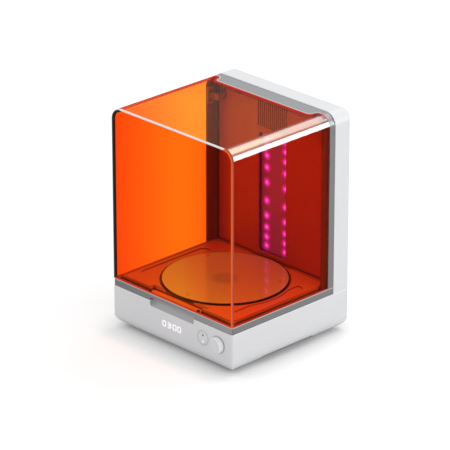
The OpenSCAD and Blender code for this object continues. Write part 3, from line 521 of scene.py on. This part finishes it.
class CURING_OT_housings(bpy.types.Operator):
    """White base, column, rear cover and grey bottom plate"""

    bl_idname = "curing.housings"
    bl_label = "Housings"

    def execute(self, context):
        s = settings()
        roughness = 0.42

        def column_lip_shade(f, shade):
            """Painted shade: a dark lip round the chamber's opening, where the housing lies in
            shade behind the gap.
            """
            x, y, z = f.axes()
            side = abs(x)
            lip_shade = (side > LIP_SHADE_INNER) * (side < LIP_SHADE_OUTER) * (y < LIP_SHADE_REAR) * (z < LIP_SHADE_TOP)
            return f.blend(lip_shade, shade, LIP_SHADE_BROWN)

        button, knob = middle("button_cap"), middle("knob_cap")
        low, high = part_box("base_housing")
        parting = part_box("lid_frame")[0].z

        def base_light_and_shade(f, shade):
            x, y, z = f.axes()
            facing = y < low.y + 4 * MM
            # painted shade in the gaps round the button and the knob
            ring = (abs(from_axis(f, button) - BUTTON_RING_R) < 0.7 * MM).most(
                abs(from_axis(f, knob) - KNOB_RING_R) < 0.9 * MM)
            shade = f.blend(ring * facing * 0.45, shade, GAP_SHADE_GREY)
            # painted shade in the finger scoop
            scoop = (abs(x) < SCOOP_HALF) * (z > SCOOP_FOOT) * (y > low.y + 0.6 * MM)
            shade = f.blend(scoop * (y < low.y + SCOOP_DEPTH), shade, SCOOP_SHADE_GREY)
            # painted highlight along the parting line under the lid
            outside = facing.most(abs(x) > high.x - 2 * MM)
            line = (z > parting - PARTING_HIGHLIGHT_HEIGHT) * (z < parting) * outside
            shade = f.blend(line * 0.75, shade, PARTING_HIGHLIGHT_WHITE)
            # painted shade on the foot, darker towards the floor, and painted shadow along the
            # recess on each side
            height = z - low.z
            raised = (height / FOOT_SHADE_HEIGHT).clamped()
            shade = f.blend(raised, [c * 0.7 for c in s.white], shade)
            ramp = (((y - RECESS_FRONT) / (14 * MM)).clamped()
                    * ((RECESS_REAR - y) / (5 * MM)).clamped())
            recess_shadow = (abs(x) > high.x - RECESS_DEPTH) * (height < ramp * RECESS_SHADOW_HEIGHT)
            return f.blend(recess_shadow, shade, RECESS_SHADOW_GREY)

        dressed("rear_cover", moulded("white_moulding", s.white, roughness), s.housing_edge)
        dressed("base_housing",
                moulded("base_moulding", s.white, roughness, marks=base_light_and_shade), s.housing_edge)
        # the column's rounded edges get a darker white, as painted shade along them
        dressed("column_housing",
                moulded("column_moulding", s.white, roughness, marks=column_lip_shade), 0.8 * MM,
                edge_material=moulded("column_edge_shade", [c * 0.8 for c in s.white], roughness))
        paint("bottom_plate", moulded("grey_plate", (0.5, 0.505, 0.51), 0.5))
        paint("rubber_feet", rubber("foot_rubber", (0.03, 0.03, 0.032)))
        return {"FINISHED"}


class CURING_OT_hood(bpy.types.Operator):
    """Amber canopy and front panel, grey lid frame and its small parts"""

    bl_idname = "curing.hood"
    bl_label = "Hood"

    def execute(self, context):
        s = settings()
        low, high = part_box("hood_canopy")
        panel_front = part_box("hood_front_panel")[0].y
        light, deep = tuple(s.amber), tuple(s.amber_deep)

        def strip_depth(x, y):
            """How far a place on the lid's top lies behind the strip's front edge."""
            side = abs(x)
            first = STRIP_R - ((side - STRIP_HALF).most(0.0) ** 2.0
                               + (y - STRIP_MIDDLE).least(0.0) ** 2.0).root()
            second = ((side - STRIP_HALF - 2 * STRIP_R).least(0.0) ** 2.0
                      + (y - STRIP_MIDDLE) ** 2.0).root() - STRIP_R
            behind = y > STRIP_MIDDLE
            return first * (1.0 - behind) + second * behind

        def inward(x, z):
            """How far a place lies inside the hood's outline from the front."""
            over = (abs(x) - (high.x - HOOD_R)).most(0.0)
            above = (z - (high.z - HOOD_R)).most(0.0)
            return HOOD_R - (over * over + above * above).root()

        def bend(f):
            """1 on the right bend, which is polished."""
            x, y, z = f.axes()
            sideways = ((x - (high.x - HOOD_R)) / (7 * MM)).clamped()
            upward = ((z - (high.z - HOOD_R + 3.2 * MM)) / (1.5 * MM)).clamped()
            return sideways * upward

        def canopy_shade(f, smudge):
            """Painted light and shade in the tint: light top, left side that pales towards the
            rear, and deep right side.
            """
            x, y, z = f.axes()
            depth = ((y - low.y) / (high.y - low.y)).clamped()
            left = x < 0.0
            top = ((z - (high.z - HOOD_R)) / HOOD_R).clamped()
            rear_left = left * ((depth - 0.5) * 2.0).clamped()
            lower = (1.0 - (z - low.z) / (70 * MM)).clamped()
            side_share = left * (depth * 1.25) + (1.0 - left) * lower * 0.12 + 0.02
            share = (1.0 - top) * side_share + top * (0.97 - rear_left * 0.4)
            return f.blend((share + smudge * 0.04).clamped(), deep, light)

        def canopy_painted_lines(f):
            """Painted light and shade: glowing red lines on the left bend and at the foot, and
            red and dark bands ahead of the frame's top band.
            """
            x, y, z = f.axes()
            over = ((0.0 - x) - (high.x - 18.6 * MM)) / (0.8 * MM)
            above = (z - (high.z - 9 * MM)) / (2 * MM)
            left = over.clamped() * above.clamped()
            foot = z < low.z + 1.2 * MM
            ahead = 0.0 - strip_depth(x, y)
            top = (z > high.z - 4.5 * MM) * (x > -(high.x - 17 * MM))
            red = top * (ahead < 4.5 * MM)
            dusk = top * (ahead < 9 * MM)
            mask = left.most(foot * 0.8).most(red * 0.75).most(dusk * 0.45)
            painted_light = f.blend(red.most(over > 0.0).most(foot), SHEET_SHADE_RED, SHEET_PAINTED_RED)
            painted_light = f.blend(left, painted_light, (0.3, 0.01, 0.01))
            glow = f.blend(foot, BLACK, (0.12, 0.01, 0.0))
            return mask, painted_light, f.blend(left, glow, (0.38, 0.014, 0.0))

        def panel_shade(f, smudge):
            """Painted light and shade in the tint: deep rim and right side, paler foot and
            left side.
            """
            x, y, z = f.axes()
            right = ((x - 10 * MM) / (70 * MM)).clamped()
            lower = (1.0 - (z - low.z) / (90 * MM)).clamped()
            middle_share = ((x + 70 * MM) / (90 * MM)).clamped()
            share = 0.4 - right * 0.3 + lower * middle_share * 0.3 + smudge * 0.05
            return f.blend(share * (inward(x, z) > 3.6 * MM), deep, light)

        def panel_painted_lines(f):
            """Painted highlights, shade and glow on the edges: pale line along the top, black
            one on the left, glowing right side and foot.
            """
            x, y, z = f.axes()
            depth = inward(x, z)
            side = abs(x) > high.x - HOOD_R + 0.5 * MM
            outer = depth < 1.2 * MM
            right = x > 0.0
            foot = z < low.z + 1.3 * MM
            width = 5.2 * MM - right * (2.7 * MM)
            mask = (side * (depth < width)).most(depth < 1.8 * MM).most(foot)
            flank = f.blend(right, f.blend(outer, SHEET_SHADE_BLACK, SHEET_HIGHLIGHT_GREY), SHEET_GLOW_ORANGE)
            cheek = right * side * (depth < 0.4 * MM) * (y > low.y - 3.2 * MM)
            flank = f.blend(cheek, flank, (0.34, 0.06, 0.07))
            painted_light = f.blend(side, f.blend(outer, SHEET_HIGHLIGHT_CREAM, SHEET_HIGHLIGHT_PALE), flank)
            painted_light = f.blend(foot, painted_light, (0.80, 0.03, 0.01))
            glow = f.blend((side * right * (1.0 - cheek)).most(foot), (0.02, 0.02, 0.02),
                           (0.28, 0.02, 0.0))
            return mask, painted_light, glow

        dressed("hood_canopy", clear_sheet("amber_canopy", s.let_in, SHEET_INDEX, canopy_shade,
                                           bend, rim=canopy_painted_lines), s.sheet_edge)
        dressed("hood_front_panel", clear_sheet("amber_panel", s.let_in, SHEET_INDEX,
                                                panel_shade, rim=panel_painted_lines), s.sheet_edge)

        def frame_marks_and_light(f, shade):
            """Painted shade by face, painted highlights along the edges, and inner faces
            painted red as lit by the chamber.
            """
            x, y, z = f.axes()
            side = abs(x)
            top = z > high.z - 1.0 * MM
            front = y < panel_front + 1.0 * MM
            flank = side > high.x - 1.0 * MM
            # painted light and shade: top paler, sides darker, and the front paler towards the
            # right
            level = (0.5 + top * 0.2 - flank * 0.28 + front * (x * 3.2)).clamped()
            shade = f.blend(level, [c * 0.6 for c in s.grey], [c * 1.4 for c in s.grey])
            # painted highlights along the top band's front edge and the foot band's top edge
            strip_highlight = top * (strip_depth(x, y) < 2.0 * MM) * (side < high.x - HOOD_R)
            foot_highlight = (z > low.z - 1.3 * MM) * (z < low.z) * front.most(flank)
            shade = f.blend(strip_highlight.most(foot_highlight), shade, s.frame_highlight)
            # inner faces painted red, as lit by the chamber's red light
            inside = (inward(x, z) > 3.5 * MM) * (y > 0.0) * (z > low.z)
            shade = f.blend(inside, shade, INNER_LIGHT_RED)
            handle = (y > panel_front + 6.5 * MM) * (y < 0.0) * (side < 56.5 * MM)
            return f.blend(handle, shade, s.tray)

        dressed("lid_frame", moulded("frame_grey", s.grey, 0.33, marks=frame_marks_and_light,
                                     polish=lambda f: bend(f) * 0.3), s.frame_edge)
        black = rubber("gasket_rubber", (0.02, 0.02, 0.02))
        for node in ("lid_gasket", "lid_catches"):
            paint(node, black)
        return {"FINISHED"}


class CURING_OT_controls(bpy.types.Operator):
    """Knob, push button, lit figures and the lit dot"""

    bl_idname = "curing.controls"
    bl_label = "Controls"

    def execute(self, context):
        s = settings()
        roughness = 0.36
        knob, button = middle("knob_cap"), middle("button_cap")

        def knob_light_and_shade(f, shade):
            """Painted light and shade: pale lit side and a thin dark line round the face."""
            out = from_axis(f, knob)
            shade = f.blend(out > KNOB_FACE_R, shade, (0.94, 0.95, 0.96))
            line = abs(out - (KNOB_FACE_R - 0.3 * MM)) < 0.5 * MM
            return f.blend(line * 0.22, shade, (0.2, 0.2, 0.21))

        dressed("knob_cap",
                moulded("knob_white", s.white, roughness, marks=knob_light_and_shade), 0.4 * MM)

        def dot(f, up, radius):
            """1 within a round dot, up metres above the button's middle."""
            return from_axis(f, button + Vector((0.0, 0.0, up))) < radius

        def button_marks(f, shade):
            return f.blend(dot(f, 4.4 * MM, 1.6 * MM), shade, (0.05, 0.05, 0.055))

        def button_glow(f):
            return f.blend(dot(f, -6.0 * MM, 1.5 * MM), BLACK, (0.6, 0.6, 0.6))

        dressed("button_cap", moulded("button_white", s.white, roughness,
                                      marks=button_marks, glow=button_glow), 0.25 * MM)
        paint("display_digits", lit("lit_figures", (0.9, 0.9, 0.9), (1, 1, 1), 0.55))
        return {"FINISHED"}


class CURING_OT_chamber(bpy.types.Operator):
    """Chamber floor, rear wall, lamp window and turntable"""

    bl_idname = "curing.chamber"
    bl_label = "Chamber"

    def execute(self, context):
        s = settings()
        # crease_shade paints shade into the corners of the floor and the liner
        glossy = {"roughness": 0.3, "coat": 0.3, "crease_shade": 0.5}

        def tray_painted_shade(f, shade):
            """Painted shade: deeper red towards the left."""
            x, y, z = f.axes()
            rightward = ((x + 120 * MM) / (190 * MM)).clamped()
            left = (s.tray[0] * 0.75, s.tray[1] * 0.45, s.tray[2] * 0.45)
            return f.blend(rightward, left, shade)

        tray = moulded("tray_moulding", s.tray, marks=tray_painted_shade, **glossy)
        dressed("chamber_floor", tray, 0.5 * MM)
        dressed("rear_liner", moulded("chamber_moulding", s.chamber, **glossy), 0.5 * MM)
        paint("turntable_hub", tray)
        centre = middle("turntable_disc")
        low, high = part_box("turntable_disc")
        rim = (high.x - low.x) / 2 - 1.3 * MM

        def disc_shade(f, smudge):
            """Clear disc with a dark edge painted as the shade in the gap under it."""
            x, y, z = f.axes()
            dx = x - centre.x
            dy = y - centre.y
            shaded_rim = (dx * dx + dy * dy).root() > rim
            return f.blend(shaded_rim, (1.0, 0.90, 0.78), (0.01, 0.008, 0.008))

        clear = (0.9, 0.88, 0.86)
        dressed("turntable_disc", clear_sheet("disc_clear", clear, DISC_INDEX, disc_shade,
                                              frost=0.6, roughness=0.06), 0.2 * MM)
        paint("turntable_studs", clear_sheet("stud_clear", clear, DISC_INDEX, roughness=0.05))
        paint("lamp_window", clear_sheet("lamp_pane", (0.9, 0.86, 0.95), 1.3))
        paint("lamp_board", lit_board("lamp_board", (0.5, 0.15, 0.3), tuple(s.painted_glow), 20.0))
        paint("lamps", lit("lamp_emitter", (0.9, 0.85, 1.0), tuple(s.lamp), s.lamp_strength))
        return {"FINISHED"}


class CURING_OT_works(bpy.types.Operator):
    """Hinges, motor, blower, boards, power entry and screws"""

    bl_idname = "curing.works"
    bl_label = "Inner works"

    def execute(self, context):
        steel = metal("screw_steel", (0.62, 0.62, 0.63), 0.28)
        sink = metal("sink_aluminium", (0.78, 0.79, 0.8), 0.35, (1.0, 1.0, 0.1))
        brass = metal("brass_work", (0.78, 0.56, 0.24), 0.3)
        coated = painted("hinge_steel", (0.045, 0.045, 0.05), 0.4)
        arm = painted("arm_steel", (0.36, 0.075, 0.07), 0.4)
        case = painted("case_steel", (0.5, 0.51, 0.52), 0.35)
        black = moulded("black_plastic", (0.028, 0.028, 0.031), 0.45)
        board = circuit("board_green", (0.012, 0.09, 0.045))
        white = moulded("inner_white", (0.7, 0.7, 0.7), 0.4)
        finishes = {
            steel: ("base_screws", "rear_cover_screws", "base_magnets", "hinge_pins",
                    "motor_screws", "drive_spindle", "encoder_shaft", "inlet_pins",
                    "inlet_screws", "lid_magnets"),
            sink: ("lamp_heatsink",),
            brass: ("heater_element", "board_standoffs"),
            coated: ("hinge_mounts", "hinge_torque_units", "hinge_arm_screws"),
            arm: ("hinge_arm_left", "hinge_arm_right"),
            case: ("gearmotor", "motor_bracket", "encoder_body", "power_supply"),
            black: ("blower_housing", "blower_rotor", "lid_sensor", "display_module",
                    "button_switch", "power_inlet", "switch_frame", "switch_rocker"),
            board: ("main_board",),
            white: ("encoder_rotor",),
        }
        for material, nodes in finishes.items():
            for node in nodes:
                paint(node, material)
        return {"FINISHED"}


FLOOR_SIZE = 30.0
LAMP_AIM = (0.0, 0.0, 0.2)
BEND_AIM = (0.12, -0.015, 0.36)  # middle of the hood's right bend
VIEW_AZIMUTH = 45.77  # degrees from the front towards the right
VIEW_ELEVATION = 23.2
VIEW_DISTANCE = 5.241
VIEW_TARGET = (0.0, 0.003, 0.187)
VIEW_LENS = 268.62
VIEW_OFFSET = (-0.00896, -0.01069)  # right and up, in metres


def area_lamp(name, place, target, size, power, mirrored_only=False):
    """Square or oblong soft lamp at place that faces target.

    A mirrored_only lamp shows in polished surfaces and lights nothing else.
    """
    light = bpy.data.lights.new(name, "AREA")
    light.shape = "RECTANGLE"
    light.size, light.size_y = size
    light.energy = power
    lamp = bpy.data.objects.new(name, light)
    bpy.context.scene.collection.objects.link(lamp)
    lamp.location = place
    aim = Vector(target) - Vector(place)
    lamp.rotation_euler = aim.to_track_quat("-Z", "Y").to_euler()
    if mirrored_only:
        lamp.visible_diffuse = False
        lamp.visible_transmission = False
        lamp.visible_volume_scatter = False
    return lamp


class CURING_OT_stage(bpy.types.Operator):
    """Floor, studio light and camera"""

    bl_idname = "curing.stage"
    bl_label = "Stage"

    def execute(self, context):
        s = settings()
        bm = bmesh.new()
        bmesh.ops.create_grid(bm, x_segments=1, y_segments=1, size=FLOOR_SIZE / 2)
        mesh = bpy.data.meshes.new("floor")
        bm.to_mesh(mesh)
        bm.free()
        floor = bpy.data.objects.new("floor", mesh)
        bpy.context.scene.collection.objects.link(floor)
        # a pale floor that shows a little lighter than it is, with a painted contact shadow
        # near the object
        f = Finish("floor_white")
        pale = f.shader("ShaderNodeBsdfDiffuse", {"Color": (0.86, 0.86, 0.86)})
        glow = f.shader("ShaderNodeEmission", {"Color": (1, 1, 1), "Strength": 0.28})
        lifted = f.shader("ShaderNodeAddShader", {0: pale, 1: glow})
        shadow_grey = f.shader("ShaderNodeBsdfDiffuse", {"Color": (0.30, 0.30, 0.30)})
        contact_shadow = (1.0 - f.crease(45 * MM)) * 0.6
        mesh.materials.append(
            f.surface(f.mix(contact_shadow, f.mix(f.seen(), pale, lifted), shadow_grey)))

        # white where it is looked at, and s.world_level as a light
        f = Finish("studio", "worlds")
        level = f.seen() * (1.0 - s.world_level) + s.world_level
        sky = f.shader("ShaderNodeBackground", {"Color": (1, 1, 1), "Strength": level})
        bpy.context.scene.world = f.surface(sky, "ShaderNodeOutputWorld")

        area_lamp("right_softbox", (2.2, 0.6, 1.2), LAMP_AIM, (1.6, 1.2), 11.8)
        above = area_lamp("top_softbox", (0.1, 1.2, 2.4), LAMP_AIM, (1.6, 0.9), 15.7)
        above.visible_glossy = False
        area_lamp("front_left_fill", (-1.9, -1.4, 1.9), LAMP_AIM, (0.9, 0.9), 6.0)
        area_lamp("bend_line_card", (1.76, 1.395, 0.69), BEND_AIM, (0.7, 1.3), 19.0, True)
        area_lamp("bend_sheen_card", (0.2, 1.5, 2.1), BEND_AIM, (2.0, 0.9), 11.0, True)

        azimuth = math.radians(VIEW_AZIMUTH)
        rise = math.radians(VIEW_ELEVATION)
        back = Vector((math.sin(azimuth) * math.cos(rise),
                       -math.cos(azimuth) * math.cos(rise), math.sin(rise)))
        right = Vector((math.cos(azimuth), math.sin(azimuth), 0.0))
        up = back.cross(right)
        camera_data = bpy.data.cameras.new("camera")
        camera_data.lens = VIEW_LENS
        camera_data.clip_end = 100.0
        camera = bpy.data.objects.new("camera", camera_data)
        bpy.context.scene.collection.objects.link(camera)
        camera.location = (Vector(VIEW_TARGET) + back * VIEW_DISTANCE
                           + right * VIEW_OFFSET[0] + up * VIEW_OFFSET[1])
        camera.rotation_euler = back.to_track_quat("Z", "Y").to_euler()
        bpy.context.scene.camera = camera
        bpy.context.scene.view_settings.view_transform = "Standard"
        return {"FINISHED"}


STEPS = ("housings", "hood", "controls", "chamber", "works", "stage")


class CURING_PT_panel(bpy.types.Panel):
    """Sidebar panel of the curing unit"""

    bl_label = "Curing Unit"
    bl_idname = "CURING_PT_panel"
    bl_space_type = "VIEW_3D"
    bl_region_type = "UI"
    bl_category = "Curing Unit"

    def draw(self, context):
        for name in CuringUnitSettings.__annotations__:
            self.layout.prop(context.scene.curing_unit, name)
        for step in STEPS:
            self.layout.operator("curing." + step)


CLASSES = (CuringUnitSettings, CURING_OT_housings, CURING_OT_hood, CURING_OT_controls,
           CURING_OT_chamber, CURING_OT_works, CURING_OT_stage, CURING_PT_panel)


def register():
    for cls in CLASSES:
        bpy.utils.register_class(cls)
    bpy.types.Scene.curing_unit = bpy.props.PointerProperty(type=CuringUnitSettings)


def unregister():
    del bpy.types.Scene.curing_unit
    for cls in reversed(CLASSES):
        bpy.utils.unregister_class(cls)


def main():
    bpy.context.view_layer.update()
    register()
    for step in STEPS:
        getattr(bpy.ops.curing, step)()


if __name__ == "__main__":
    main()
